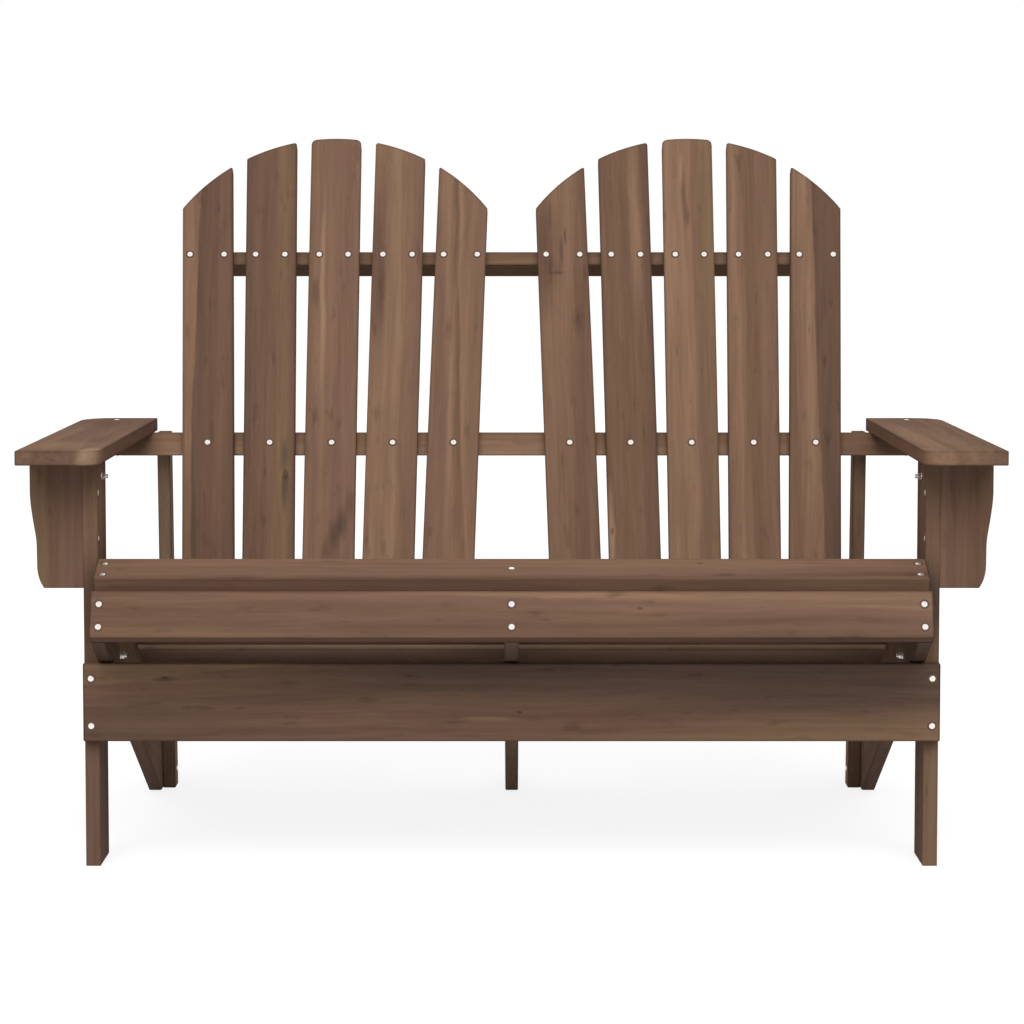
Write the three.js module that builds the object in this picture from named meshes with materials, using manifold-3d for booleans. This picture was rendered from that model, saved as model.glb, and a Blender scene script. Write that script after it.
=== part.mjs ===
// Adirondack loveseat: a fixed, two-seat wooden garden bench with two fanned backs, a waterfall seat
// and flat arms. Millimetres. +Z is up, the bench faces -Y and +X is to the right seen from in front.
// "Left" and "right" are as seen from in front. The origin is on the ground, in the middle of the
// bench's outer box.
import * as THREE from 'three';
import { mergeVertices } from 'three/addons/utils/BufferGeometryUtils.js';
import Module from 'manifold-3d';

const wasm = await Module();
wasm.setup();

// Values shared by the whole bench
const board = 18;                 // thickness of every board
const clearance = 0.3;            // between faces that meet on a slant, and round the bolts
const seatWidth = 1027;           // over the outer stringers, between the front legs
const degree = Math.PI / 180;
const roundSteps = 12;            // straight steps in each rounded outline

// Front legs, measured from their front faces, which stand at y = 0 before the bench is centred
const legHeight = 509;
const legDepth = 93;

// Stringers: boards on edge that carry the seat and slope down and back to the ground
const seatSlope = 23.2 * degree;
const stringerDepth = 105;        // square to the slope
const stringerFace = 56.7;        // height of the square-cut front end, below the chamfer
const noseReach = 88.4;           // front lower corner, forward of the front legs
const noseHeight = 291.6;         // front lower corner, above the ground
const footLength = 113;           // flat foot behind the point where the lower edge meets the ground

// Front apron, let into the stringers' lower edges
const apronHeight = 97;
const apronLap = 2.9;             // how far it stands above the stringers' lower edges at the legs
const notchClearance = 2;

// Seat slats: one on the stringers' front ends, one on their chamfers and the rest on their tops
const noseRise = 3.3;             // how far the nose slat stands above the square-cut ends
const crestTilt = 19.6 * degree;  // crest slat, front edge down
const crestSetback = 15.4;        // from the chamfer's front corner to the crest slat
const crestWidth = 60;
const crestClearance = 5;         // behind the crest slat, along the stringer
const seatSlats = 5;              // they fill the seat from the crest slat to the back
const seatSlatGap = 23.55;
const backClearance = 1.5;        // between the last seat slat and the back

// Arms and the shaped wooden brackets under them
const armOutset = 68.5;           // beyond the leg's outer face
const armInset = 15.5;            // inside the leg's inner face
const armOverhang = 112;          // in front of the leg
const armFrontRadius = 25;        // inner front corner
const armRearRoundAcross = 40;    // outer rear corner, across the arm
const armRearRoundAlong = 60;     // outer rear corner, along the arm
const bracketSetback = 2.9;       // inside the arm's outer edge
const bracketHeight = 160;
// Outer edge of the bracket, as shares of its width and of its height below the arm
const bracketEdgeShares = [
  [1, 0], [1, 0.16], [0.994, 0.31], [0.945, 0.47], [0.887, 0.62], [0.877, 0.74],
  [0.87, 0.86], [0.825, 0.94], [0.748, 1],
];

// Backs: two fans of slats on one sloping plane
const backReach = 537.5;          // from the legs' front faces to the slats' rear faces, at arm level
const recline = 25.85 * degree;
const slatsPerBack = 5;
const fanStep = 0.9 * degree;     // from each slat to the next
const backSlatGap = 14;           // at arm level
const backsGap = 89.8;            // between the two backs, at arm level
const backEdgeGap = 42.1;         // between a back's outer slat and the arm
const crownRise = 448.7;          // along the slats, from arm level to the top of the middle slat
const crownDrop = 115.6;          // fall of the crown's arc over half the width of a back
const crownEase = 8;              // corners of the middle slat
const shoulderEase = 5;           // high corners of the other slats
const slatTail = 15;              // below the bottom rail

// Back rails and rear posts
const armRailDepth = 25.5;        // its top face, front to back
const armRailHeight = 30;
const armRailInset = 10;          // inside the arm's outer edge
const upperRailDepth = 39.5;
const upperRailHeight = 20.5;
const upperRailDrop = 54.6;       // below the shoulders of the crown's arc
const upperRailSetback = 4.3;     // inside the outer edges of the two backs
const bottomRailDepth = 40;
const bottomRailHeight = 30;
const postDepth = 38;
const postSetback = 20;           // behind the front of the stringer's foot

// Bolts, washers, nuts and the steel angles under the arms
const boltRadius = 2.5;
const boltHeadRim = 3.5;          // beyond the shank
const boltHeadHeight = 3;
const boltEnd = 3;                // past the nut
const washerRim = 2.5;            // beyond the shank
const washerThickness = 1;
const nutWall = 1.5;              // from the shank to the nut's flats
const nutHeight = 4.5;
const frontBoltGap = 7;           // between the wooden bracket and the front bolt's head
const rearBoltInset = 15;         // from the leg's rear edge
const legBoltRise = 32.5;         // from the stringer's lower and upper edges, square to them
const armBoltDrop = 24;           // below the arm
const angleThickness = 2;
const angleWidth = 24;
const angleEnd = 14;              // past the bolt
const angleReach = 40;            // under the arm

// Materials
const wood = () => new THREE.MeshStandardMaterial({ color: 0x806554, roughness: 0.75, metalness: 0 });
const steel = () => new THREE.MeshStandardMaterial({ color: 0xb9b7b2, roughness: 0.4, metalness: 0.9 });

// Side view: points and directions hold (y, z)
const point = (y, z) => new THREE.Vector2(y, z);
const heading = (angle) => new THREE.Vector2(Math.cos(angle), Math.sin(angle));
const shifted = (start, direction, distance) => start.clone().addScaledVector(direction, distance);
const quarterTurn = Math.PI / 2;

// Where the line through one point meets the line through another
function meeting(start, direction, otherStart, otherDirection) {
  const across = otherStart.clone().sub(start).cross(otherDirection);
  return shifted(start, direction, across / direction.cross(otherDirection));
}

// Four corners of a board seen end on: from its lower near corner, along its width, then its thickness
function endView(start, along, width, up, thickness) {
  const far = shifted(start, along, width);
  return [start, far, shifted(far, up, thickness), shifted(start, up, thickness)];
}

// Solids
const bench = new THREE.Group();
bench.name = 'adirondack_loveseat';
const sideView = new THREE.Matrix4().makeBasis(
  new THREE.Vector3(0, 1, 0),
  new THREE.Vector3(0, 0, 1),
  new THREE.Vector3(1, 0, 0),
);

function add(name, geometry, material, parent = bench) {
  const mesh = new THREE.Mesh(geometry, material);
  mesh.name = name;
  parent.add(mesh);
  return mesh;
}

const extruded = (outline, depth, holes = []) => {
  const shape = new THREE.Shape(outline);
  shape.holes = holes;
  return new THREE.ExtrudeGeometry(shape, { depth, bevelEnabled: false, curveSegments: roundSteps });
};

// A board whose side view is the outline, from one X to another
function sideBoard(outline, from, to, holes = []) {
  return extruded(outline, to - from, holes).translate(0, 0, from).applyMatrix4(sideView);
}

const roundHole = (centre, radius) => {
  const hole = new THREE.Path();
  hole.absarc(centre.x, centre.y, radius, 0, 2 * Math.PI, true);
  return hole;
};

function toSolid(geometry) {
  const bare = geometry.index ? geometry.toNonIndexed() : geometry.clone();
  bare.deleteAttribute('normal');
  bare.deleteAttribute('uv');
  const merged = mergeVertices(bare);
  return new wasm.Manifold(new wasm.Mesh({
    numProp: 3,
    vertProperties: new Float32Array(merged.attributes.position.array),
    triVerts: new Uint32Array(merged.index.array),
  }));
}

function cut(geometry, tool) {
  const mesh = toSolid(geometry).subtract(toSolid(tool)).getMesh();
  const result = new THREE.BufferGeometry();
  result.setAttribute('position', new THREE.BufferAttribute(mesh.vertProperties, mesh.numProp));
  result.setIndex(new THREE.BufferAttribute(mesh.triVerts, 1));
  return result;
}

// Places that several pieces share
const seatHalf = seatWidth / 2;
const legOuter = seatHalf + board;
const armOuter = legOuter + armOutset;
const armInner = seatHalf - armInset;
const stringerInner = seatHalf - board;

const slopeBack = heading(-seatSlope);
const slopeUp = heading(quarterTurn - seatSlope);
const noseLow = point(-noseReach, noseHeight);
const noseHigh = shifted(noseLow, slopeUp, stringerFace);
const crestBack = heading(crestTilt);
const crestUp = heading(quarterTurn + crestTilt);
const edgeTop = shifted(noseLow, slopeUp, stringerDepth);
const chamferEnd = meeting(noseHigh, crestBack, edgeTop, slopeBack);
const ground = heading(0);
const upright = heading(quarterTurn);
const footFront = meeting(noseLow, slopeBack, point(0, 0), ground);
const footRear = shifted(footFront, ground, footLength);
const stringerEnd = meeting(edgeTop, slopeBack, footRear, upright);

const backUp = heading(quarterTurn - recline);
const backRear = heading(-recline);
const slatRear = point(backReach, legHeight);
const slatFront = shifted(slatRear, backRear, -board);
const railPlane = shifted(slatRear, backRear, clearance);
const postTop = point(backReach + armRailDepth + clearance, legHeight);
const postFoot = shifted(footFront, ground, postSetback);
const postUp = postTop.clone().sub(postFoot).normalize();
const postWidth = postDepth / postUp.y;

// Front legs
const frontBoltY = board + frontBoltGap + boltRadius + boltHeadRim;
const legBolts = [
  { label: 'front', y: frontBoltY, edge: edgeTop, rise: -legBoltRise },
  { label: 'rear', y: legDepth - rearBoltInset, edge: noseLow, rise: legBoltRise },
].map(({ label, y, edge, rise }) => {
  const from = shifted(edge, slopeUp, rise);
  return { label, centre: meeting(from, slopeBack, point(y, 0), upright) };
});
const armBolt = point(legDepth / 2, legHeight - armBoltDrop);
const boreRadius = boltRadius + clearance;

function frontLeg(side) {
  const outline = [point(0, 0), point(legDepth, 0), point(legDepth, legHeight), point(0, legHeight)];
  const holes = [...legBolts.map((bolt) => bolt.centre), armBolt].map((at) => roundHole(at, boreRadius));
  const [from, to] = side > 0 ? [seatHalf, legOuter] : [-legOuter, -seatHalf];
  return sideBoard(outline, from, to, holes);
}

// Stringers and apron
const apronTop = meeting(noseLow, slopeBack, point(0, 0), upright).y + apronLap;

function stringer(from, to, bolted) {
  const outline = [noseLow, footFront, footRear, stringerEnd, chamferEnd, noseHigh];
  const holes = bolted ? legBolts.map((bolt) => roundHole(bolt.centre, boreRadius)) : [];
  const notch = new THREE.BoxGeometry(
    seatWidth + 2 * board,
    board + 2 * notchClearance,
    apronHeight,
  ).translate(0, -board / 2, apronTop - apronHeight / 2 + notchClearance);
  return cut(sideBoard(outline, from, to, holes), notch);
}

add('stringer_left', stringer(-seatHalf, -stringerInner, true), wood());
add('stringer_centre', stringer(-board / 2, board / 2, false), wood());
add('stringer_right', stringer(stringerInner, seatHalf, true), wood());

const apron = new THREE.BoxGeometry(2 * legOuter, board, apronHeight);
add('apron', apron.translate(0, -board / 2, apronTop - apronHeight / 2), wood());

// Seat
const noseStart = shifted(noseLow, slopeBack, -clearance - board);
const nose = endView(noseStart, slopeBack, board, slopeUp, stringerFace + noseRise);
add('nose_slat', sideBoard(nose, -seatHalf, seatHalf), wood());

const crestStart = shifted(shifted(noseHigh, crestBack, crestSetback), crestUp, clearance);
const crest = endView(crestStart, crestBack, crestWidth, crestUp, board);
add('crest_slat', sideBoard(crest, -seatHalf, seatHalf), wood());

// The seat runs along the stringers' tops, from behind the crest slat to the front of the back
const seatPlane = shifted(chamferEnd, slopeUp, clearance);
const seatTop = shifted(seatPlane, slopeUp, board);
const seatStart = crest[1].clone().sub(seatPlane).dot(slopeBack) + crestClearance;
const seatEnd = Math.min(...[seatPlane, seatTop].map((level) => (
  meeting(level, slopeBack, slatFront, backUp).sub(level).dot(slopeBack)
))) - backClearance;
const seatStep = (seatEnd - seatStart + seatSlatGap) / seatSlats;
const seatSlatWidth = seatStep - seatSlatGap;
for (let i = 0; i < seatSlats; i += 1) {
  const start = shifted(seatPlane, slopeBack, seatStart + i * seatStep);
  const slat = endView(start, slopeBack, seatSlatWidth, slopeUp, board);
  add(`seat_slat_${i + 1}`, sideBoard(slat, -seatHalf, seatHalf), wood());
}

// Back rails
const armRailFront = meeting(railPlane, backUp, point(0, legHeight), ground);
const armRailLow = point(0, legHeight - armRailHeight);
const armRailRear = shifted(postTop, ground, -clearance);
const armRail = [
  meeting(railPlane, backUp, armRailLow, ground),
  meeting(armRailRear, postUp, armRailLow, ground),
  armRailRear,
  armRailFront,
];
const armRailHalf = armOuter - armRailInset;
add('arm_rail', sideBoard(armRail, -armRailHalf, armRailHalf), wood());

const backWidth = armInner - backEdgeGap - backsGap / 2;
const backCentre = (armInner - backEdgeGap + backsGap / 2) / 2;
const backSlatWidth = (backWidth - (slatsPerBack - 1) * backSlatGap) / slatsPerBack;
const outerPlace = (slatsPerBack - 1) / 2;
const fanSpread = Math.tan(outerPlace * fanStep);

const upperRailTop = crownRise - crownDrop - upperRailDrop;
const upperRailStart = shifted(railPlane, backUp, upperRailTop - upperRailHeight);
const upperRail = endView(upperRailStart, backRear, upperRailDepth, backUp, upperRailHeight);
const upperRailHalf = backCentre + backWidth / 2 + upperRailTop * fanSpread - upperRailSetback;
add('upper_back_rail', sideBoard(upperRail, -upperRailHalf, upperRailHalf), wood());

const bottomRailStart = meeting(seatPlane, slopeBack, railPlane, backUp);
const bottomRail = endView(bottomRailStart, slopeBack, bottomRailDepth, backUp, bottomRailHeight);
add('bottom_back_rail', sideBoard(bottomRail, -seatHalf, seatHalf), wood());

// Back slats: (x, distance up the back) on the sloping plane, arm level at 0
const back = new THREE.Group();
back.position.set(0, slatRear.x, slatRear.y);
back.rotation.x = quarterTurn - recline;
bench.add(back);

const crownHalf = backWidth / 2 + crownRise * fanSpread;
const crownRadius = (crownHalf ** 2 + crownDrop ** 2) / (2 * crownDrop);
const crownCentre = new THREE.Vector2(0, crownRise - crownRadius);
const slatBottom = bottomRailStart.clone().sub(slatRear).dot(backUp) - slatTail;

// One long edge of a slat: its foot, and its top corner where it meets the crown's arc
function slatEdge(place, hand) {
  const up = heading(quarterTurn - place * fanStep);
  const across = heading(-place * fanStep);
  const middle = new THREE.Vector2(place * (backSlatWidth + backSlatGap), 0);
  const atArm = shifted(middle, across, hand * backSlatWidth / 2);
  const toCentre = crownCentre.clone().sub(atArm);
  const reach = toCentre.dot(up) + Math.sqrt(crownRadius ** 2 - toCentre.cross(up) ** 2);
  const corner = shifted(atArm, up, reach);
  return { foot: shifted(atArm, up, slatBottom), up, corner };
}

// The arc from one corner of a slat to the other, with the high corners eased
function slatOutline(place) {
  const ease = place === 0 ? crownEase : shoulderEase;
  const [right, left] = [1, -1].map((hand) => slatEdge(place, hand));
  const bearing = ({ corner }) => corner.clone().sub(crownCentre).angle();
  const rightEase = place <= 0 ? ease : 0;
  const leftEase = place >= 0 ? ease : 0;
  const first = bearing(right) + rightEase / crownRadius;
  const last = bearing(left) - leftEase / crownRadius;
  const onArc = (turn) => shifted(crownCentre, heading(turn), crownRadius);
  const arc = Array.from({ length: roundSteps + 1 }, (_, i) => (
    onArc(first + (last - first) * (i / roundSteps))
  ));
  const eased = (edge, size, arcPoint) => new THREE.QuadraticBezierCurve(
    shifted(edge.corner, edge.up, -size), edge.corner, arcPoint,
  ).getPoints(roundSteps / 2);
  const rightCorner = rightEase ? eased(right, rightEase, arc[0]).slice(0, -1) : [];
  const leftCorner = leftEase ? eased(left, leftEase, arc[roundSteps]).slice(0, -1).reverse() : [];
  return [left.foot, right.foot, ...rightCorner, ...arc, ...leftCorner];
}

for (const [side, label] of [[-1, 'left'], [1, 'right']]) {
  for (let i = 0; i < slatsPerBack; i += 1) {
    const slat = extruded(slatOutline(i - outerPlace), board);
    add(`back_slat_${label}_${i + 1}`, slat, wood(), back).position.x = side * backCentre;
  }
}

// Bolts, washers and nuts, lying along X with the head outside
function boltShape(grip) {
  const length = grip + washerThickness + nutHeight + boltEnd;
  const headRadius = boltRadius + boltHeadRim;
  const dome = Array.from({ length: roundSteps / 2 + 1 }, (_, i) => {
    const turn = quarterTurn * (i / (roundSteps / 2));
    return new THREE.Vector2(headRadius * Math.sin(turn), boltHeadHeight * Math.cos(turn));
  });
  dome[0].x = 0;
  dome[roundSteps / 2].y = 0;
  const profile = [
    new THREE.Vector2(0, -length),
    new THREE.Vector2(boltRadius, -length),
    new THREE.Vector2(boltRadius, 0),
    ...dome.reverse(),
  ];
  return new THREE.LatheGeometry(profile, 2 * roundSteps).rotateZ(-quarterTurn);
}

const regular = (sides, radius) => (
  Array.from({ length: sides }, (_, i) => heading(i * 2 * Math.PI / sides).multiplyScalar(radius))
);

function washerShape() {
  const outline = regular(2 * roundSteps, boltRadius + washerRim);
  return sideBoard(outline, -washerThickness, 0, [roundHole(point(0, 0), boreRadius)]);
}

function nutShape() {
  const sides = 6;
  const outline = regular(sides, (boltRadius + nutWall) / Math.cos(Math.PI / sides));
  const nutFar = washerThickness + nutHeight;
  return sideBoard(outline, -nutFar, -washerThickness, [roundHole(point(0, 0), boreRadius)]);
}

// A bolt whose head bears at headFace, with its washer and nut at nutFace
function boltSet(label, centre, headFace, nutFace, side) {
  const turn = side > 0 ? 0 : Math.PI;
  const parts = [
    ['bolt', boltShape(headFace - nutFace), headFace],
    ['washer', washerShape(), nutFace],
    ['nut', nutShape(), nutFace],
  ];
  for (const [piece, geometry, x] of parts) {
    const mesh = add(`${label}_${piece}`, geometry, steel());
    mesh.position.set(side * x, centre.x, centre.y);
    mesh.rotation.z = turn;
  }
}

// Both ends of the bench
function armOutline(side) {
  const rear = postTop.x + postWidth;
  const rearRound = new THREE.EllipseCurve(armOuter - armRearRoundAcross, rear - armRearRoundAlong,
    armRearRoundAcross, armRearRoundAlong, 0, quarterTurn).getPoints(roundSteps);
  const frontRound = new THREE.EllipseCurve(armInner + armFrontRadius, armFrontRadius - armOverhang,
    armFrontRadius, armFrontRadius, Math.PI, 3 * quarterTurn).getPoints(roundSteps);
  const frontCorner = new THREE.Vector2(armOuter, -armOverhang);
  const rearCorner = new THREE.Vector2(armInner, rear);
  const corners = [frontCorner, ...rearRound, rearCorner, ...frontRound];
  return corners.map(({ x, y }) => new THREE.Vector2(side * x, y));
}

function bracketOutline(side) {
  const width = armOutset - bracketSetback;
  const place = ([across, down]) => (
    new THREE.Vector2(side * (legOuter + across * width), legHeight - down * bracketHeight)
  );
  const edge = new THREE.SplineCurve(bracketEdgeShares.map(place)).getPoints(2 * roundSteps);
  const inner = side * legOuter;
  return [new THREE.Vector2(inner, legHeight), ...edge, new THREE.Vector2(inner, legHeight - bracketHeight)];
}

// Steel angle: one leaf on the leg's outer face, the other under the arm
function angleBracket(side) {
  const outline = [
    [0, 0], [angleReach, 0], [angleReach, -angleThickness], [angleThickness, -angleThickness],
    [angleThickness, -armBoltDrop - angleEnd], [0, -armBoltDrop - angleEnd],
  ].map(([out, up]) => new THREE.Vector2(side * (legOuter + out), legHeight + up));
  const leaf = extruded(outline, angleWidth).rotateX(quarterTurn);
  const drill = new THREE.CylinderGeometry(boreRadius, boreRadius, 2 * board, 2 * roundSteps);
  drill.rotateZ(quarterTurn).translate(side * legOuter, armBolt.x, armBolt.y);
  return cut(leaf.translate(0, armBolt.x + angleWidth / 2, 0), drill);
}

for (const [side, label] of [[-1, 'left'], [1, 'right']]) {
  add(`front_leg_${label}`, frontLeg(side), wood());

  const post = [postFoot, shifted(postFoot, ground, postWidth), shifted(postTop, ground, postWidth), postTop];
  const [postFrom, postTo] = [stringerInner - board, stringerInner].map((x) => side * x).sort((a, b) => a - b);
  add(`rear_post_${label}`, sideBoard(post, postFrom, postTo), wood());

  add(`arm_${label}`, extruded(armOutline(side), board).translate(0, 0, legHeight), wood());

  const bracket = extruded(bracketOutline(side), board).rotateX(quarterTurn).translate(0, board, 0);
  add(`arm_bracket_${label}`, bracket, wood());

  add(`arm_angle_${label}`, angleBracket(side), steel());
  boltSet(`arm_${label}`, armBolt, legOuter + angleThickness, seatHalf, side);
  for (const bolt of legBolts) {
    boltSet(`leg_${label}_${bolt.label}`, bolt.centre, legOuter, stringerInner, side);
  }
}

// The bench stands on the ground with the middle of its outer box over the origin
const outerBox = new THREE.Box3().setFromObject(bench);
bench.position.y = -(outerBox.min.y + outerBox.max.y) / 2;

export default bench;
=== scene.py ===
# %% [markdown]
# A two-seat adirondack bench: smoked wooden boards, bright wood screws and a few small bolts.
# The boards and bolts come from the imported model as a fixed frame, in metres, so nothing here moves
# them. This lesson gives them their finishes and adds what the frame leaves out: the wood screws.

import math

import bmesh
import bpy
import numpy as np
from mathutils import Euler, Matrix, Vector


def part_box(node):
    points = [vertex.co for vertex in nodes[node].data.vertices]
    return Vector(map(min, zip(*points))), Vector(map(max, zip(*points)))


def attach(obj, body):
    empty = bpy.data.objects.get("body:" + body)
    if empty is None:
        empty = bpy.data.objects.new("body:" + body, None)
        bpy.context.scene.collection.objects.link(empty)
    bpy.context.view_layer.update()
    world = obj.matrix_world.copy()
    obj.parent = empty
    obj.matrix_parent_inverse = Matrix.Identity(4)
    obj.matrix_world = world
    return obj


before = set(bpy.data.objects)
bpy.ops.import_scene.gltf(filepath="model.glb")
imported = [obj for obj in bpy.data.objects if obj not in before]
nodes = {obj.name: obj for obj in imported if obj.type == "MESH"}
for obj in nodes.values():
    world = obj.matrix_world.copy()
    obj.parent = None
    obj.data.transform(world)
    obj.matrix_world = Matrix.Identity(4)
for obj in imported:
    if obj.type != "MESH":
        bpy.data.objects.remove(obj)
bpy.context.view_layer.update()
scene = bpy.context.scene
MM = 0.001
print("pieces in the frame:", len(nodes))

# %% [markdown]
# The picture is taken square from in front, from nearly five metres away with a long lens, a little
# above the arms and looking down by under five degrees. A long lens keeps the boards' edges almost
# parallel. A sensor 36 mm wide in a square picture makes the lens length the only thing to choose.

# %% Camera
LOOKS_DOWN = 4.71676

camera = bpy.data.objects.new("camera", bpy.data.cameras.new("camera"))
camera.location = (0.00047, -4.69117, 0.80524)
camera.rotation_euler = (math.radians(90 - LOOKS_DOWN), 0, 0)
camera.data.sensor_fit = "HORIZONTAL"
camera.data.sensor_width = 36
camera.data.lens = 124.68
scene.collection.objects.link(camera)
scene.camera = camera
print("camera at", tuple(camera.location))

# %% [markdown]
# Colours are written as the hex values seen on the object. Blender mixes light with linear numbers, so
# one function turns them. A second small function adds a node, sets it and wires its sockets: every
# finish below is built from these two.

# %% Two helpers for finishes
def linear(hex_colour):
    """The linear colour, with full alpha, of an sRGB hex value."""
    shares = [int(hex_colour[i:i + 2], 16) / 255 for i in (1, 3, 5)]
    return [s / 12.92 if s <= 0.04045 else ((s + 0.055) / 1.055) ** 2.4 for s in shares] + [1]


def add(tree, kind, sockets={}, **settings):
    """Adds a node. A socket takes another node's output or a plain value."""
    node = tree.nodes.new("ShaderNode" + kind)
    for name, value in settings.items():
        setattr(node, name, value)
    for name, value in sockets.items():
        if isinstance(value, bpy.types.NodeSocket):
            tree.links.new(value, node.inputs[name])
        else:
            node.inputs[name].default_value = value
    return node


print("mid brown in linear numbers:", [round(v, 3) for v in linear("#806554")])

# %% [markdown]
# Each board was cut from a log along its grain, so its finish needs to know three directions: across
# the board, along the grain, and out of its face. They follow from how the bench is built: the seat
# slopes, the back leans and its slats fan out. The board's own corners then give its middle and size.

# %% Directions of the boards
SEAT_SLOPE = math.radians(23.2)
CREST_TILT = math.radians(19.6)
LEAN = math.radians(25.85)
FAN_STEP = math.radians(0.9)
SIDEWAYS = Vector((1, 0, 0))
UPRIGHT = Vector((0, 0, 1))
FRONT = Vector((0, -1, 0))
UP_THE_BACK = Vector((0, math.sin(LEAN), math.cos(LEAN)))
OUT_OF_BACK = Vector((0, -math.cos(LEAN), math.sin(LEAN)))
DOWN_THE_SEAT = Vector((0, math.cos(SEAT_SLOPE), -math.sin(SEAT_SLOPE)))
SQUARE_TO_SEAT = Vector((0, math.sin(SEAT_SLOPE), math.cos(SEAT_SLOPE)))
SQUARE_TO_CREST = Vector((0, -math.sin(CREST_TILT), math.cos(CREST_TILT)))

along_and_face = {
    "apron": (SIDEWAYS, FRONT),
    "nose_slat": (SIDEWAYS, -DOWN_THE_SEAT),
    "crest_slat": (SIDEWAYS, SQUARE_TO_CREST),
    "upper_back_rail": (SIDEWAYS, OUT_OF_BACK),
    "arm_rail": (SIDEWAYS, FRONT),
    "bottom_back_rail": (SIDEWAYS, OUT_OF_BACK),
    "stringer_centre": (DOWN_THE_SEAT, SIDEWAYS),
}
for number in range(1, 6):
    along_and_face[f"seat_slat_{number}"] = (SIDEWAYS, SQUARE_TO_SEAT)
    for side in ("left", "right"):
        turn = Matrix.Rotation(-(number - 3) * FAN_STEP, 3, OUT_OF_BACK)
        along_and_face[f"back_slat_{side}_{number}"] = (turn @ UP_THE_BACK, OUT_OF_BACK)
for side, outward in (("left", -SIDEWAYS), ("right", SIDEWAYS)):
    along_and_face["front_leg_" + side] = (UPRIGHT, outward)
    along_and_face["rear_post_" + side] = (UPRIGHT, outward)
    along_and_face["stringer_" + side] = (DOWN_THE_SEAT, outward)
    along_and_face["arm_" + side] = (-FRONT, UPRIGHT)
    along_and_face["arm_bracket_" + side] = (UPRIGHT, FRONT)


def measure(name):
    """A board's turn, middle and size: x across, y along the grain, z out of the face."""
    along, face = along_and_face[name]
    turn = Matrix((along.cross(face), along, face)).transposed()
    corners = np.array([v.co for v in nodes[name].data.vertices]) @ np.array(turn)
    low, high = corners.min(0), corners.max(0)
    return turn, turn @ Vector((low + high) / 2), Vector(high - low)


for name in ("apron", "back_slat_left_3", "arm_left"):
    print(name, "is", [round(v / MM, 1) for v in measure(name)[2]], "mm across, along and thick")
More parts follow.
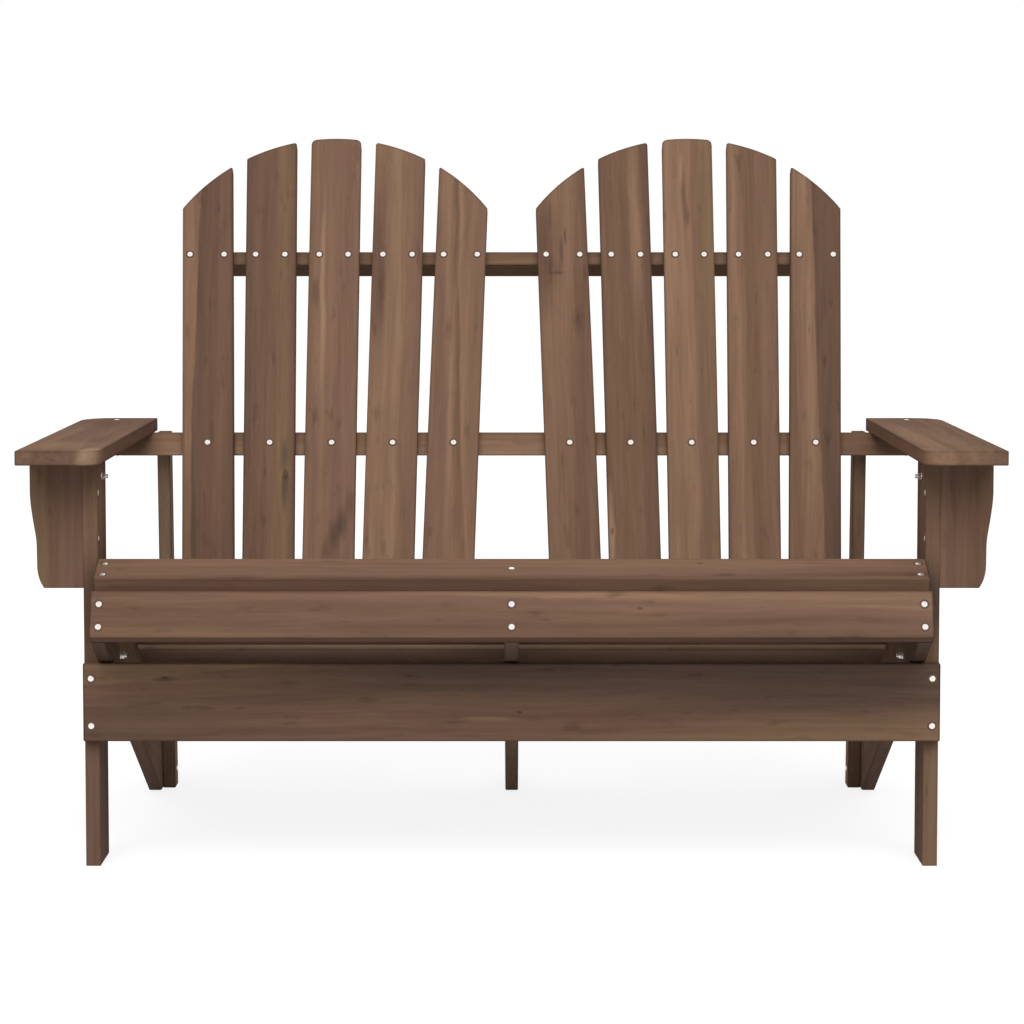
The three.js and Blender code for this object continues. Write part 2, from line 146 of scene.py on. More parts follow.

# %% [markdown]
# The wood is a light hardwood that was smoked or stained brown and left satin, without a gloss coat.
# The stain soaks in by the tree's growth, so each board shows lengthwise bands from straw to umber,
# 5 to 40 mm wide, and a few named tones keep all boards in one family. A board lists its bands from
# edge to edge: -1 is its left, top or rear edge halfway along, and 1 the other. Few boards are sawn
# quite along the grain, so the first number is how far the bands drift across per length along. The
# posts, the stringers and the last seat slat's front edge are painted paler than their wood, as painted
# light. A board that isn't listed takes a common set.

# %% Tones and bands
TONES = {
    "pale": "#a98b72",
    "straw": "#9b7c64",
    "tan": "#8f705a",
    "sand": "#866854",
    "rose": "#816353",
    "olive": "#7f654e",
    "clay": "#795d4b",
    "russet": "#715647",
    "umber": "#675043",
    "smoke": "#5f4c41",
}
BANDS_AND_PAINTED_LIGHT = {
    "back_slat_left_1": (0.028, "-1 sand, -0.6 sand, -0.52 umber, 0 russet, 0.7 russet, 1.1 umber"),
    "back_slat_left_2": (0, "-1 umber, -0.7 umber, -0.6 russet, -0.2 russet, 0.1 clay, 0.6 olive, "
                            "1 russet"),
    "back_slat_left_3": (0, "-1 sand, -0.5 rose, -0.3 sand, 0.2 rose, 0.7 rose, 1 sand"),
    "back_slat_left_4": (0, "-1 tan, -0.2 tan, 0.1 straw, 0.2 tan, 0.4 sand, 0.65 rose, 1 rose"),
    "back_slat_left_5": (-0.05, "-1.5 rose, -0.5 rose, -0.15 tan, 0 sand, 0.2 clay, 0.26 clay, "
                                "0.34 tan, 0.6 sand, 1.5 rose"),
    "back_slat_right_1": (0.036, "-1.3 sand, 0.1 sand, 0.3 clay, 0.6 russet, 1 clay"),
    "back_slat_right_2": (0, "-1 russet, -0.6 clay, 0.5 clay, 0.75 russet, 1 umber"),
    "back_slat_right_3": (0, "-1 tan, -0.2 tan, 0.12 tan, 0.24 rose, 0.6 olive, 1 olive"),
    "back_slat_right_4": (-0.024, "-1.2 clay, -0.75 sand, -0.55 tan, -0.35 sand, 0 clay, 0.3 clay, "
                                  "0.65 rose, 1 clay"),
    "back_slat_right_5": (-0.037, "-1.3 sand, -0.95 clay, -0.75 clay, -0.6 sand, -0.1 tan, 0.12 sand, "
                                  "0.2 umber, 0.6 umber, 1.2 russet"),
    "nose_slat": (0.035, "-1.4 tan, -0.85 tan, -0.65 rose, -0.1 clay, 0.5 russet, 1.4 clay"),
    "crest_slat": (-0.02, "-1.4 sand, -0.3 sand, 0.5 rose, 0.9 russet, 1.4 olive"),
    # Partly painted shade: the olive top is the apron's own tone, its darker upper half is shade under the
    # nose
    "apron": (-0.1, "-2 olive, -1.62 olive, -1.54 russet, -0.5 umber, 0.9 russet, 1.15 clay, 1.35 olive"),
    "arm_left": (0.03, "-1.2 sand, -0.5 sand, -0.3 clay, 0 clay, 0.4 rose, 0.6 clay, 1.2 rose"),
    "arm_right": (-0.02, "-1.1 sand, -0.5 tan, -0.3 olive, 0 sand, 0.4 olive, 0.6 clay, 1.1 sand"),
    "arm_bracket_left": (0, "-1 olive, -0.5 olive, -0.1 clay, 0.5 rose, 1 rose"),
    "arm_bracket_right": (0, "-1 sand, -0.5 rose, 0.2 clay, 1 clay"),
    "front_leg_left": (0, "-1 umber, 0.3 russet, 0.9 russet"),
    "front_leg_right": (0, "-0.9 olive, 0 clay, 1 russet"),
    # Painted light from here to the right post: the posts and stringers are paler than their wood
    "rear_post_left": (0, "-1 pale, 1 pale"),
    # Painted light: this slat's pale front edge stands for light falling through the gap before it
    "seat_slat_5": (0, "-1 clay, 0 sand, 0.8 straw, 1 pale"),
    "stringer_left": (0, "-1 sand, 0.3 straw, 1 sand"),
    "stringer_right": (0, "-1 sand, -0.2 tan, 1 sand"),
    "stringer_centre": (0, "-1 straw, 1 pale"),
    "rear_post_right": (0, "-1 straw, 1 pale"),
    "arm_rail": (0, "-1 sand, 0 tan, 1 straw"),
    "upper_back_rail": (0, "-1 clay, 1 olive"),
}
COMMON = (
    (0.01, "-1 rose, -0.3 sand, 0.2 clay, 1 russet"),
    (-0.02, "-1 tan, -0.4 sand, 0.4 rose, 1 clay"),
    (0.02, "-1 russet, -0.2 clay, 0.4 olive, 1 sand"),
    (0, "-1 clay, 0 tan, 0.3 sand, 1 rose"),
)
print("boards with bands of their own:", len(BANDS_AND_PAINTED_LIGHT))

# %% [markdown]
# Small knots are where a twig grew through the board. Each is written as millimetres across and along
# from the board's middle, and its radius, and the grain lines part to flow round it. Stains are soft
# patches of another tone: across, along, half width, half length, and the tone of their middle. The
# knots and most stains were placed where the real boards have them, where the wood took more stain or
# less; those on the apron, the legs, the stringers' front ends and the arms' inner front ends are
# painted shade and painted light.

# %% Knots and stains
KNOTS = {
    "back_slat_left_2": [(23, -111, 3.6)],
    "back_slat_right_2": [(-30, -194, 2.2)],
    "apron": [(-31, -430, 1.8), (12, 10, 1.6)],
    "nose_slat": [(-8, 156, 1.8)],
    "crest_slat": [(-16, 233, 2)],
    "arm_left": [(-20, 120, 3)],
    "seat_slat_2": [(8, -260, 5)],
    "seat_slat_4": [(-12, 180, 4)],
    "stringer_right": [(10, -120, 6)],
}
STAINS_AND_PAINTED_LIGHT = {
    "back_slat_left_1": [(4, 165, 2, 16, "umber")],
    "back_slat_left_2": [(22, -82, 5, 24, "umber"), (24, -138, 5, 26, "umber"),
                         (24, -125, 3, 16, "smoke"), (-27, 110, 2.5, 250, "umber")],
    "back_slat_left_3": [(27, -158, 8, 24, "russet"), (17, -186, 9, 26, "umber"),
                         (15, -190, 5, 14, "smoke"), (6, -206, 9, 24, "umber"),
                         (-3, -226, 7, 20, "russet"), (-14, 160, 4, 150, "straw"),
                         (-20, 50, 3, 90, "tan"), (-24, 160, 6, 22, "russet")],
    "back_slat_left_4": [(-26, 210, 15, 160, "russet"), (-22, 180, 6, 60, "umber")],
    "back_slat_right_1": [(-26, 250, 24, 95, "russet"), (21, 140, 8, 24, "umber"),
                          (-3, 248, 3, 22, "umber"), (3, 272, 2, 14, "umber"),
                          (-17, 305, 1.6, 22, "umber"), (-12, 215, 14, 3, "umber")],
    "back_slat_right_2": [(15, 275, 9, 150, "tan"), (-32, -205, 6, 80, "straw")],
    "back_slat_right_3": [(-8, 350, 3, 34, "straw"), (-4, 300, 5, 50, "clay"), (0, 280, 4, 16, "russet")],
    "back_slat_right_4": [(6, 90, 5, 40, "russet")],
    "back_slat_right_5": [(15, 165, 2, 16, "umber")],
    # Painted shade: the apron's smoke patches, under the seat's front edge
    "apron": [(-20, 380, 42, 260, "smoke"), (-34, 0, 24, 250, "smoke"), (20, -30, 3, 40, "olive"),
              (-31, -430, 3, 16, "smoke")],
    "nose_slat": [(15, 330, 16, 200, "russet")],
    # Painted light: the pale and tan patches at the arms' inner front ends light their rounded corners
    "arm_left": [(-10, -250, 50, 90, "tan"), (38, -356, 16, 60, "pale"), (0, 260, 60, 170, "russet")],
    "arm_right": [(-36, -350, 20, 70, "tan"), (0, 270, 60, 150, "clay")],
    "arm_rail": [(0, 460, 60, 60, "clay")],
    # On the legs, the dark patches beside the nose are painted shade and the light ones under the arms
    # painted light
    "front_leg_left": [(46, 75, 20, 50, "umber"), (20, 190, 60, 75, "tan")],
    "front_leg_right": [(-46, 75, 20, 50, "smoke"), (-20, 190, 60, 75, "sand")],
    # Painted shade: the stringers' smoke at their front ends, under the nose
    "stringer_centre": [(0, -380, 80, 110, "smoke")],
    "stringer_left": [(0, -380, 80, 110, "smoke")],
    "stringer_right": [(0, -380, 80, 110, "smoke")],
}
print("knots and stains:", sum(len(spots) for spots in [*KNOTS.values(), *STAINS_AND_PAINTED_LIGHT.values()]))

# %% [markdown]
# One recipe makes the smoked wood of any board, in the order in which the real wood came about: first
# the grain grew. All patterns read the board's own coordinates in millimetres, so they run through the
# wood as they do in a log, and the end grain shows rings cut across. Stretched noise is enough for
# every streak: its scale is one over the streak's length and width. Straight grain would look printed,
# so it wanders a few millimetres over a hand's length, waves a little, and parts round the knots.

# %% Grain
SOFT = {"interpolation_type": "SMOOTHSTEP"}


def streaks(tree, local, length, width, seed, detail=2.0):
    """Soft patches stretched along the grain, of a length and width in millimetres."""
    stretched = add(tree, "Mapping", {
        "Vector": local, "Scale": (1 / width, 1 / length, 1 / width), "Location": (seed, -seed, 3 * seed)})
    return add(tree, "TexNoise", {
        "Vector": stretched.outputs[0], "Scale": 1.0, "Detail": detail}).outputs[0]


def distance(tree, local, middle, scale):
    """How far a point of the board is from a middle, in a stretched measure."""
    away = add(tree, "VectorMath", {0: local, 1: middle}, operation="SUBTRACT").outputs[0]
    away = add(tree, "VectorMath", {0: away, 1: scale}, operation="MULTIPLY").outputs[0]
    return add(tree, "VectorMath", {0: away}, operation="LENGTH").outputs["Value"]


def grain_round(tree, board, knots, seed):
    """The board's coordinates bent as its grain runs, and the shades of its knots."""
    wander = streaks(tree, board, 260, 45, seed, 1.0)
    wander = add(tree, "MapRange", {0: wander, 3: -6.0, 4: 6.0}).outputs[0]
    wave = streaks(tree, board, 55, 22, seed + 3, 1.0)
    wave = add(tree, "MapRange", {0: wave, 3: -2.0, 4: 2.0}).outputs[0]
    wander = add(tree, "Math", {0: wander, 1: wave}).outputs[0]
    shades = []
    for across, along, radius in knots:
        away = distance(tree, board, (across, along, 0), (1, 0.5, 0))
        side = add(tree, "VectorMath", {0: board, 1: (across, along, 0)}, operation="SUBTRACT").outputs[0]
        side = add(tree, "SeparateXYZ", {0: side}).outputs[0]
        pull = add(tree, "MapRange", {0: away, 1: 0.0, 2: 4 * radius, 3: -0.6, 4: 0.0}, **SOFT).outputs[0]
        wander = add(tree, "Math", {0: side, 1: pull, 2: wander}, operation="MULTIPLY_ADD").outputs[0]
        shades += [(away, 0.6 * radius, 1.5 * radius, 0.6, 1.0), (away, 0.0, 0.7 * radius, 1.3, 1.0)]
    shift = add(tree, "CombineXYZ", {0: wander}).outputs[0]
    return add(tree, "VectorMath", {0: board, 1: shift}, operation="ADD").outputs[0], shades


largest = max(radius for knots in KNOTS.values() for across, along, radius in knots)
print("the largest knot bends the grain as far as", 4 * largest, "mm from its middle")

# %% [markdown]
# The bands could be painted one by one, but a colour ramp read across the board holds them all, and
# its eased steps are as soft as the stain made them. The ramp is read along a line that drifts to one
# side, and it is as long as the drift needs.

# %% Bands
def bands_and_painted_light(tree, grain, name, size, seed):
    """The colour of a board's bands, with the painted light of the boards listed for it."""
    drift, stops = BANDS_AND_PAINTED_LIGHT.get(name, COMMON[seed % len(COMMON)])
    reach = 1 + abs(drift) * size.y / size.x
    place = add(tree, "SeparateXYZ", {0: grain}).outputs
    line = add(tree, "Math", {0: place[1], 1: -drift, 2: place[0]}, operation="MULTIPLY_ADD").outputs[0]
    edge = reach * size.x / MM / 2
    bands = add(tree, "ValToRGB", {0: add(tree, "MapRange", {0: line, 1: -edge, 2: edge}).outputs[0]})
    bands.color_ramp.interpolation = "EASE"
    stops = [stop.split() for stop in stops.split(", ")]
    stops = [((float(where) / reach + 1) / 2, linear(TONES[tone])) for where, tone in stops]
    ramp = bands.color_ramp.elements
    ramp[0].position, ramp[0].color = stops[0]
    ramp[1].position, ramp[1].color = stops[-1]
    for where, tone in stops[1:-1]:
        ramp.new(where).color = tone
    return bands.outputs[0]


print("boards that take a common set of bands:", len(along_and_face) - len(BANDS_AND_PAINTED_LIGHT))

# %% [markdown]
# Over the bands lie long faint patches where the stain took redder, and then the listed stains,
# some of which are painted shade and painted light. Each is a soft oval that fades into the wood round it.

# %% Patches and stains
def stains_and_painted_light(tree, grain, bands, name, seed):
    """The bands with their patches and stains, painted shade and painted light among them."""
    patch = streaks(tree, grain, 330, 16, seed + 5)
    patch = add(tree, "MapRange", {0: patch, 1: 0.4, 2: 0.7, 3: 0.0, 4: 0.4}).outputs[0]
    mixed = add(tree, "Mix", {0: patch, 6: bands, 7: linear(TONES["clay"])}, data_type="RGBA").outputs[2]
    for across, along, half_width, half_length, tone in STAINS_AND_PAINTED_LIGHT.get(name, []):
        away = distance(tree, grain, (across, along, 0), (1 / half_width, 1 / half_length, 0))
        near = add(tree, "MapRange", {0: away, 1: 0.2, 2: 1.4, 3: 1.0, 4: 0.0}, **SOFT).outputs[0]
        mixed = add(tree, "Mix", {0: near, 6: mixed, 7: linear(TONES[tone])}, data_type="RGBA").outputs[2]
    return mixed


print("boards with stains of their own:", len(STAINS_AND_PAINTED_LIGHT))

# %% [markdown]
# Rings run about a pith that lies behind the board, with fibres along them and vessels as short dark
# dashes. Real vessels are about 0.2 mm wide, too fine for this picture, so they are drawn near 1 mm.
# Each of these makes the wood a little darker or lighter. A shade is written as its pattern, two of
# the pattern's values, and the share of light that the wood gives back at each.

# %% Rings, fibres and vessels
GROWTH_RING = 2.6


def growth(tree, grain, size, seed):
    """The fibres, the vessels, and the shades that growth gave the wood."""
    pith = (size.x / MM * (0.15 + 0.1 * (seed % 4)), 0, -70 - 6 * (seed % 5))
    ring = distance(tree, grain, pith, (1, 0.01, 1))
    ring = add(tree, "TexNoise", {"W": ring, "Scale": 1 / GROWTH_RING, "Detail": 1.0},
               noise_dimensions="1D").outputs[0]
    fibre = streaks(tree, grain, 80, 1.6, seed + 11)
    vessel = streaks(tree, grain, 12, 1.0, seed + 17, 0.0)
    return fibre, vessel, [
        (ring, 0.3, 0.7, 0.975, 1.025),
        (fibre, 0.3, 0.7, 0.97, 1.03),
        (vessel, 0.6, 0.75, 1.0, 0.94),
        (streaks(tree, grain, 420, 11, seed + 23), 0.3, 0.7, 0.92, 1.08),
        (streaks(tree, grain, 70, 5, seed + 29, 3.0), 0.3, 0.7, 0.95, 1.05),
        (streaks(tree, grain, 150, 3.5, seed + 31, 3.0), 0.58, 0.74, 1.0, 1.1),
        (streaks(tree, grain, 50, 12, seed + 37), 0.6, 0.8, 1.0, 0.74),
    ]


print("rings across the seat's front board:", round(measure("nose_slat")[2].x / MM / GROWTH_RING))

# %% [markdown]
# End grain drinks more stain unless it is sanded well, as the arms' ends are. Each board is also made
# darker in a thin line along its edges. A bevel node finds those edges: near one, the normal of a
# rounded surface turns away from the flat one's. Brackets and legs were sanded flush with each other,
# and their line is kept weaker.

# %% End grain and edges
END_GRAIN = {"arm_left": 0.88, "arm_right": 1.0}
FLUSH = ("arm_bracket_left", "arm_bracket_right", "front_leg_left", "front_leg_right")


def ends_and_edges(tree, normal, turn, name):
    """The shades of a board's end grain and of the dark line at its edges."""
    facing = add(tree, "Mapping", {"Vector": normal, "Rotation": turn.to_euler()},
                 vector_type="TEXTURE").outputs[0]
    facing = add(tree, "VectorMath", {0: facing}, operation="ABSOLUTE").outputs[0]
    facing = add(tree, "SeparateXYZ", {0: facing}).outputs
    rounded = add(tree, "Bevel", {"Radius": 5 * MM}).outputs[0]
    flat = add(tree, "NewGeometry").outputs["Normal"]
    near_edge = add(tree, "VectorMath", {0: rounded, 1: flat}, operation="DOT_PRODUCT").outputs["Value"]
    return [(facing[1], 0.0, 0.3, 1.0, END_GRAIN.get(name, 0.55)),
            (near_edge, 0.92, 0.999, 0.88 if name in FLUSH else 0.6, 1.0)]


print("boards sanded flush:", len(FLUSH))

# %% [markdown]
# The whole recipe: the colour of bands and stains, times every shade. The finish is satin. The stain
# leaves the pores open, so there is little gloss, and fibres and vessels break it up lengthwise.

# %% Smoked wood
def smoked_wood(name, seed):
    """A board's own satin smoked wood."""
    turn, middle, size = measure(name)
    material = bpy.data.materials.new("smoked_wood_" + name)
    material.use_nodes = True
    tree = material.node_tree
    own = add(tree, "TexCoord").outputs
    board = add(tree, "Mapping", {
        "Vector": own["Object"], "Location": middle, "Rotation": turn.to_euler(),
        "Scale": (MM, MM, MM)}, vector_type="TEXTURE").outputs[0]
    grain, knot_shades = grain_round(tree, board, KNOTS.get(name, []), seed)
    fibre, vessel, growth_shades = growth(tree, grain, size, seed)
    shades = knot_shades + growth_shades + ends_and_edges(tree, own["Normal"], turn, name)
    shade = 1.0
    for value, low, high, start, end in shades:
        one = add(tree, "MapRange", {0: value, 1: low, 2: high, 3: start, 4: end}, **SOFT).outputs[0]
        shade = add(tree, "Math", {0: shade, 1: one}, operation="MULTIPLY").outputs[0]
    mixed = stains_and_painted_light(tree, grain, bands_and_painted_light(tree, grain, name, size, seed), name, seed)
    colour = add(tree, "VectorMath", {0: mixed, 3: shade}, operation="SCALE").outputs[0]
    rough = add(tree, "MapRange", {0: fibre, 1: 0.3, 2: 0.7, 3: 0.68, 4: 0.8}, **SOFT).outputs[0]
    height = add(tree, "Math", {0: fibre, 1: vessel}, operation="SUBTRACT").outputs[0]
    bump = add(tree, "Bump", {"Height": height, "Strength": 0.3, "Distance": 0.4 * MM}).outputs[0]
    shader = tree.nodes["Principled BSDF"]
    shader.inputs["IOR"].default_value = 1.5
    shader.inputs["Specular IOR Level"].default_value = 0.02
    tree.links.new(colour, shader.inputs["Base Color"])
    tree.links.new(rough, shader.inputs["Roughness"])
    tree.links.new(bump, shader.inputs["Normal"])
    return material


print("boards to finish:", len(along_and_face))

# %% [markdown]
# Real boards are planed and their edges eased by about 1.5 mm, so that they don't splinter. A bevel
# modifier gives that edge without touching the frame's own mesh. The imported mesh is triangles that
# share no corners, so a weld and a planar dissolve come first, and the bevel then runs cleanly. The
# boards that were sanded flush have their edges only just broken.

# %% Finish the boards
def ease(piece, width):
    """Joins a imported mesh's triangles and rounds its edges a little."""
    if "custom_normal" in piece.data.attributes:
        piece.data.attributes.remove(piece.data.attributes["custom_normal"])
    piece.data.shade_smooth()
    weld = piece.modifiers.new("weld", "WELD")
    weld.merge_threshold = 0.01 * MM
    flat = piece.modifiers.new("flat", "DECIMATE")
    flat.decimate_type = "DISSOLVE"
    flat.angle_limit = math.radians(0.5)
    bevel = piece.modifiers.new("eased", "BEVEL")
    bevel.width = width
    bevel.segments = 2
    bevel.limit_method = "ANGLE"
    bevel.angle_limit = math.radians(35)
    bevel.harden_normals = True
    bevel.use_clamp_overlap = False


EASED = 1.5 * MM
JUST_BROKEN = 0.3 * MM
for seed, name in enumerate(sorted(along_and_face)):
    nodes[name].data.materials.clear()
    nodes[name].data.materials.append(smoked_wood(name, seed))
    ease(nodes[name], JUST_BROKEN if name in FLUSH else EASED)
print("boards finished:", len(along_and_face))

# %% [markdown]
# Bolts, nuts, washers and the two steel angles are mild steel with a bright zinc plating. Zinc keeps a
# faint frosted grain under its shine. The real crystals are under half a millimetre, so they are drawn
# at 0.8 mm. A metal keeps the default IOR, and its colour is what it reflects.

# %% Zinc-plated steel
FROST = 0.8
SMEAR = 9
PRESSED_EDGE = 0.25 * MM


def zinc_plated_steel():
    """Bright zinc: a pale metal with a frosted grain and faint smears."""
    material = bpy.data.materials.new("zinc_plated_steel")
    material.use_nodes = True
    tree = material.node_tree
    place = add(tree, "TexCoord").outputs["Object"]
    frost = add(tree, "TexNoise", {"Vector": place, "Scale": 1 / (FROST * MM), "Detail": 2.0}).outputs[0]
    smear = add(tree, "TexNoise", {"Vector": place, "Scale": 1 / (SMEAR * MM), "Detail": 3.0}).outputs[0]
    tint = add(tree, "Mix", {0: smear, 6: linear("#faf0e9"), 7: linear("#fffaf5")},
               data_type="RGBA").outputs[2]
    rough = add(tree, "MapRange", {0: frost, 1: 0.3, 2: 0.7, 3: 0.3, 4: 0.45}).outputs[0]
    bump = add(tree, "Bump", {"Height": frost, "Strength": 0.15, "Distance": 0.1 * MM}).outputs[0]
    shader = tree.nodes["Principled BSDF"]
    shader.inputs["Metallic"].default_value = 1.0
    tree.links.new(tint, shader.inputs["Base Color"])
    tree.links.new(rough, shader.inputs["Roughness"])
    tree.links.new(bump, shader.inputs["Normal"])
    return material


zinc = zinc_plated_steel()
for name in sorted(set(nodes) - set(along_and_face)):
    nodes[name].data.materials.clear()
    nodes[name].data.materials.append(zinc)
    ease(nodes[name], PRESSED_EDGE)
print("steel pieces finished:", len(nodes) - len(along_and_face))

# %% [markdown]
# The boards are held by wood screws with bright heads 7.6 mm across, turned in until they sit just
# proud of the wood. A head is one outline spun round its axis, and its cross recess is cut out with a
# tapered cross. Round each head, a darker ring over 2 mm wide is painted shade.

# %% One screw head
HEAD_RADIUS = 3.8
HEAD_RISE = 1.0
NECK_RADIUS = 2.2
NECK_DEPTH = 1.8
CROSS_WIDTH = 0.7
CROSS_MOUTH = (1.9, 1.3)
CROSS_FLOOR = (1.2, 0.3)


def spun(name, outline, steps=32):
    """A closed mesh, from an outline of (radius, height) in millimetres spun about Z."""
    shape = bmesh.new()
    corners = [shape.verts.new((radius * MM, 0, height * MM)) for radius, height in outline]
    for one, two in zip(corners, corners[1:]):
        shape.edges.new((one, two))
    bmesh.ops.spin(shape, geom=shape.verts[:] + shape.edges[:], axis=(0, 0, 1), cent=(0, 0, 0),
                   steps=steps, angle=math.tau, use_merge=True)
    bmesh.ops.remove_doubles(shape, verts=shape.verts, dist=0.001 * MM)
    bmesh.ops.recalc_face_normals(shape, faces=shape.faces)
    for face in shape.faces:
        face.smooth = True
    mesh = bpy.data.meshes.new(name)
    shape.to_mesh(mesh)
    shape.free()
    return mesh


dome = [(HEAD_RADIUS * math.sin(a), HEAD_RISE * math.cos(a) ** 1.2) for a in np.linspace(0, 1.5, 9)]
neck = [(HEAD_RADIUS, 0), (NECK_RADIUS, -NECK_DEPTH), (0, -NECK_DEPTH)]
head = bpy.data.objects.new("head", spun("head", dome + neck))

# The mouth and the floor of the recess are each (half its length, its height) in millimetres
cross = bmesh.new()
for turn in (0, math.pi / 2):
    arm = bmesh.ops.create_cube(cross, size=1)["verts"]
    for v in arm:
        reach, height = CROSS_MOUTH if v.co.z > 0 else CROSS_FLOOR
        v.co = Vector((v.co.x * 2 * reach, v.co.y * CROSS_WIDTH, height)) * MM
    bmesh.ops.rotate(cross, verts=arm, cent=(0, 0, 0), matrix=Matrix.Rotation(turn, 3, "Z"))
cutter = bpy.data.objects.new("cutter", bpy.data.meshes.new("cutter"))
cross.to_mesh(cutter.data)
cross.free()
for piece in (head, cutter):
    scene.collection.objects.link(piece)
cut = head.modifiers.new("recess", "BOOLEAN")
cut.operation = "DIFFERENCE"
cut.object = cutter
cut.use_self = True
head_mesh = bpy.data.meshes.new_from_object(head.evaluated_get(bpy.context.evaluated_depsgraph_get()))
for piece in (head, cutter):
    bpy.data.objects.remove(piece)
print("faces of one head:", len(head_mesh.polygons))

# %% [markdown]
# Round every head is a thin raised lip, coloured as a ring of painted shade. One long screw goes down
# through each arm's rear into the rail, and its tip sticks out a few millimetres below. A tip is a spun
# outline too, and the ridges of its thread are part of that outline.

# %% The ring and the tip
RING_WIDTH = 2.2
RING_DEPTH = 0.4
TIP_RADIUS = 1.6
TIP_LENGTH = 4.4
THREADS = 5
THREAD_PITCH = 0.75
THREAD_HEIGHT = 0.35

ring_edge = HEAD_RADIUS + RING_WIDTH
ring_outline = [(HEAD_RADIUS, -RING_DEPTH), (HEAD_RADIUS, 0.22), (HEAD_RADIUS + 0.4, 0.16),
                (ring_edge, 0.02), (ring_edge, -RING_DEPTH)]
ring_mesh = spun("ring", ring_outline + ring_outline[:1])
tip_outline = [(0, -1.0), (TIP_RADIUS, -1.0)]
for step in range(THREADS):
    taper = TIP_RADIUS * (1 - step / (THREADS + 1))
    ridge = step * THREAD_PITCH
    tip_outline += [(taper + THREAD_HEIGHT, ridge), (taper * 0.8, ridge + 0.38)]
tip_mesh = spun("tip", tip_outline + [(0, TIP_LENGTH)])


def painted_shade_ring():
    """A ring of painted shade round a screw head, with fine flecks."""
    material = bpy.data.materials.new("painted_shade_ring")
    material.use_nodes = True
    tree = material.node_tree
    place = add(tree, "TexCoord").outputs["Object"]
    fleck = add(tree, "TexNoise", {"Vector": place, "Scale": 1 / (0.9 * MM), "Detail": 2.0}).outputs[0]
    tint = add(tree, "Mix", {0: fleck, 6: linear("#58463a"), 7: linear("#6a5445")},
               data_type="RGBA").outputs[2]
    shader = tree.nodes["Principled BSDF"]
    shader.inputs["Roughness"].default_value = 0.7
    bump = add(tree, "Bump", {"Height": fleck, "Strength": 0.3, "Distance": 0.2 * MM}).outputs[0]
    tree.links.new(tint, shader.inputs["Base Color"])
    tree.links.new(bump, shader.inputs["Normal"])
    return material


# Painted shade: the ring's dark colour stands for the shade round each screw head
ring_shade = painted_shade_ring()
print("faces of a ring and a tip:", len(ring_mesh.polygons), len(tip_mesh.polygons))

# %% [markdown]
# A row of screws is one piece, which holds a copy of the head and ring at each place. A place is a
# point on the wood and the direction out of it. No two screws stop at the same turn, so each copy is
# turned a little further about its own axis.

# %% Rows of screws
def row(name, places, shapes):
    """Puts the shapes at each (point, outward) as one piece that rides on the bench."""
    joined = bmesh.new()
    for number, (point, outward) in enumerate(places):
        stand = outward.to_track_quat("Z", "Y").to_matrix().to_4x4()
        stand = Matrix.Translation(point) @ stand @ Matrix.Rotation(2.4 * number, 4, "Z")
        for shape, finish in shapes:
            copy = shape.copy()
            copy.transform(stand)
            already = len(joined.faces)
            joined.from_mesh(copy)
            joined.faces.ensure_lookup_table()
            for face in joined.faces[already:]:
                face.material_index = finish
            bpy.data.meshes.remove(copy)
    mesh = bpy.data.meshes.new(name)
    joined.to_mesh(mesh)
    joined.free()
    mesh.materials.append(zinc)
    mesh.materials.append(ring_shade)
    piece = bpy.data.objects.new(name, mesh)
    scene.collection.objects.link(piece)
    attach(piece, "root")
    print(name, "has", len(places))


def on_board(name, across, along):
    """A place on a board's face, in millimetres from its first edge and from its middle."""
    turn, middle, size = measure(name)
    return middle + turn @ Vector((across * MM - size.x / 2, along * MM, size.z / 2)), turn.col[2]


HEAD_AND_RING = [(head_mesh, 0), (ring_mesh, 1)]
SIDES = (-1, 1)
print("finishes of a row:", zinc.name, "and", ring_shade.name)

# %% [markdown]
# The backs' screws go through the slats into the three rails behind: two in a slat at the upper rail,
# and one at the others. Their places are millimetres to either side of the bench's middle, and up the
# slats' front faces from arm level, which is the top of the legs.

# %% Screws of the backs
BACK_REACH = 537.5
BOARD = 18
AT_UPPER_RAIL = 266.1
AT_ARM_RAIL = -20.7
AT_BOTTOM_RAIL = -318

leg_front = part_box("front_leg_left")[0].y
arm_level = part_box("front_leg_left")[1].z
slats_at_arms = Vector((0, leg_front + BACK_REACH * MM, arm_level)) + OUT_OF_BACK * BOARD * MM


def on_back(x, up):
    """A place on the back slats' front faces, in millimetres from arm level."""
    return slats_at_arms + SIDEWAYS * x * MM + UP_THE_BACK * up * MM, OUT_OF_BACK


for rail, up, places in (
        ("upper", AT_UPPER_RAIL, (453.9, 405.8, 361.3, 320.1, 271.6, 230.9, 181.8, 140.5, 96.1, 48.6)),
        ("arm", AT_ARM_RAIL, (420.4, 334.6, 248.9, 164.6, 80.3)),
        ("bottom", AT_BOTTOM_RAIL, (411.1, 329.9, 248.9, 169.3, 89.6))):
    row(f"screws_{rail}_rail", [on_back(hand * x, up) for hand in SIDES for x in places], HEAD_AND_RING)

# %% [markdown]
# The front boards show two screws at each end. The crest has one in the middle, over the centre
# stringer, and the nose has two there. The seat slats are fixed the same way as the crest.

# %% Screws of the seat and front
CREST_ENDS = 502.9
NOSE_ENDS = 502.5
SLAT_ENDS = 504.5
APRON_ENDS = 521.5

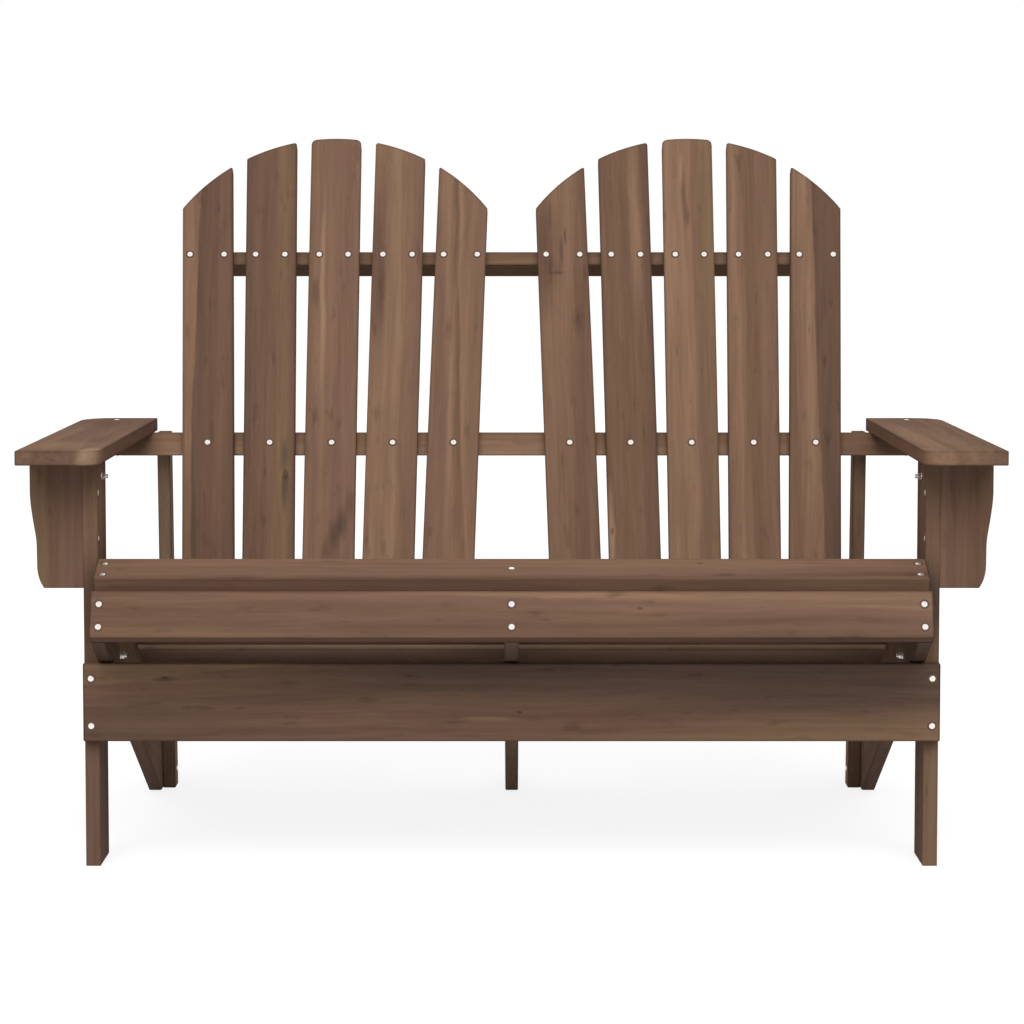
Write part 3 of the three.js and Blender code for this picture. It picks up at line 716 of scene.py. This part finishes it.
crest_places = [(down, hand * CREST_ENDS) for hand in SIDES for down in (15.7, 46)] + [(28.7, 0)]
row("screws_crest", [on_board("crest_slat", *place) for place in crest_places], HEAD_AND_RING)
nose_places = [(down, hand * NOSE_ENDS) for hand in (-1, 0, 1) for down in (16.7, 45.6)]
row("screws_nose", [on_board("nose_slat", *place) for place in nose_places], HEAD_AND_RING)
top_of_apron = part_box("apron")[1].z / MM
apron_places = [(top_of_apron - up, hand * APRON_ENDS) for hand in SIDES for up in (238.1, 178.9)]
row("screws_apron", [on_board("apron", *place) for place in apron_places], HEAD_AND_RING)
slat_places = [(15, -SLAT_ENDS), (45, -SLAT_ENDS), (30, 0), (15, SLAT_ENDS), (45, SLAT_ENDS)]
row("screws_seat_slats", [on_board(f"seat_slat_{number}", *place)
                          for number in range(1, 6) for place in slat_places], HEAD_AND_RING)

# %% [markdown]
# On each side one screw holds the arm to the rail, two go through the leg into the wooden bracket, and
# one holds the rear post to the stringer.

# %% Screws of the arms, legs and posts
ARM_SCREW_OUT = 549.6 * MM
ARM_SCREW_BACK = leg_front + 551 * MM
BRACKET_SCREW_BACK = leg_front + BOARD / 2 * MM
POST_SCREW_BACK = leg_front + 633 * MM

arm_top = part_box("arm_left")[1].z
under_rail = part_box("arm_rail")[0].z
on_arms = [(Vector((hand * ARM_SCREW_OUT, ARM_SCREW_BACK, arm_top)), UPRIGHT) for hand in SIDES]
row("screws_arms", on_arms, HEAD_AND_RING)
under_arms = [(Vector((hand * ARM_SCREW_OUT, ARM_SCREW_BACK, under_rail)), -UPRIGHT) for hand in SIDES]
row("screw_tips", under_arms, [(tip_mesh, 0)])
leg_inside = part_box("front_leg_right")[0].x
in_legs = [(Vector((hand * leg_inside, BRACKET_SCREW_BACK, up * MM)), -hand * SIDEWAYS)
           for hand in SIDES for up in (467, 410)]
row("screws_brackets", in_legs, HEAD_AND_RING)
post_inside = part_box("rear_post_right")[0].x
in_posts = [(Vector((hand * post_inside, POST_SCREW_BACK, 25 * MM)), -hand * SIDEWAYS) for hand in SIDES]
row("screws_posts", in_posts, HEAD_AND_RING)

# %% [markdown]
# The bench stands in plain soft studio light: one wide lamp high in front, and an even glow from all
# round. The room is white, so the floor and the world look white to the camera and in reflections,
# while what they throw on the wood stays low. Light from the floor is a little cool, as in a studio
# with grey walls, which keeps the shaded wood from turning orange. Most of the floor's white is a glow
# of its own, so that the shadow on it stays faint.

# %% Floor, world and lamp
GLOW = 0.41
BOUNCE = (0.58, 0.61, 0.66, 1)
PAPER = (0.3, 0.3, 0.3, 1)
PAPER_GLOW = 0.84
FLOOR_REACH = 12
LAMP_STRENGTH = 1.95
LAMP_SPREAD = math.radians(50)
LAMP_TILT = math.radians(50)


def seen_directly(tree):
    """1 where the camera, a mirror image or glass looks, 0 for light on the object."""
    path = add(tree, "LightPath").outputs
    seen = path["Is Camera Ray"]
    for other in ("Is Glossy Ray", "Is Transmission Ray"):
        seen = add(tree, "Math", {0: seen, 1: path[other]}, operation="MAXIMUM").outputs[0]
    return seen


world = bpy.data.worlds.new("studio")
world.use_nodes = True
scene.world = world
glow = add(world.node_tree, "Mix", {0: seen_directly(world.node_tree), 2: GLOW, 3: 1.0}).outputs[0]
world.node_tree.nodes["Background"].inputs["Color"].default_value = (1, 1, 1, 1)
world.node_tree.links.new(glow, world.node_tree.nodes["Background"].inputs["Strength"])

floor_shape = bmesh.new()
bmesh.ops.create_grid(floor_shape, x_segments=12, y_segments=12, size=FLOOR_REACH)
floor = bpy.data.objects.new("floor", bpy.data.meshes.new("floor"))
floor_shape.to_mesh(floor.data)
floor_shape.free()
scene.collection.objects.link(floor)

paper = bpy.data.materials.new("white_paper")
paper.use_nodes = True
tree = paper.node_tree
tree.nodes.remove(tree.nodes["Principled BSDF"])
dim = add(tree, "BsdfDiffuse", {"Color": BOUNCE}).outputs[0]
bright = add(tree, "Emission", {"Strength": PAPER_GLOW}).outputs[0]
pale = add(tree, "BsdfDiffuse", {"Color": PAPER}).outputs[0]
white = add(tree, "AddShader", {0: pale, 1: bright}).outputs[0]
seen = add(tree, "MixShader", {0: seen_directly(tree), 1: dim, 2: white}).outputs[0]
tree.links.new(seen, tree.nodes["Material Output"].inputs["Surface"])
floor.data.materials.append(paper)

lamp = bpy.data.objects.new("wide_lamp", bpy.data.lights.new("wide_lamp", "SUN"))
lamp.data.energy = LAMP_STRENGTH
lamp.data.angle = LAMP_SPREAD
lamp.rotation_euler = Euler((LAMP_TILT, 0, 0))
lamp.visible_glossy = False
scene.collection.objects.link(lamp)
scene.view_settings.view_transform = "Standard"
print("lamp strength", lamp.data.energy)
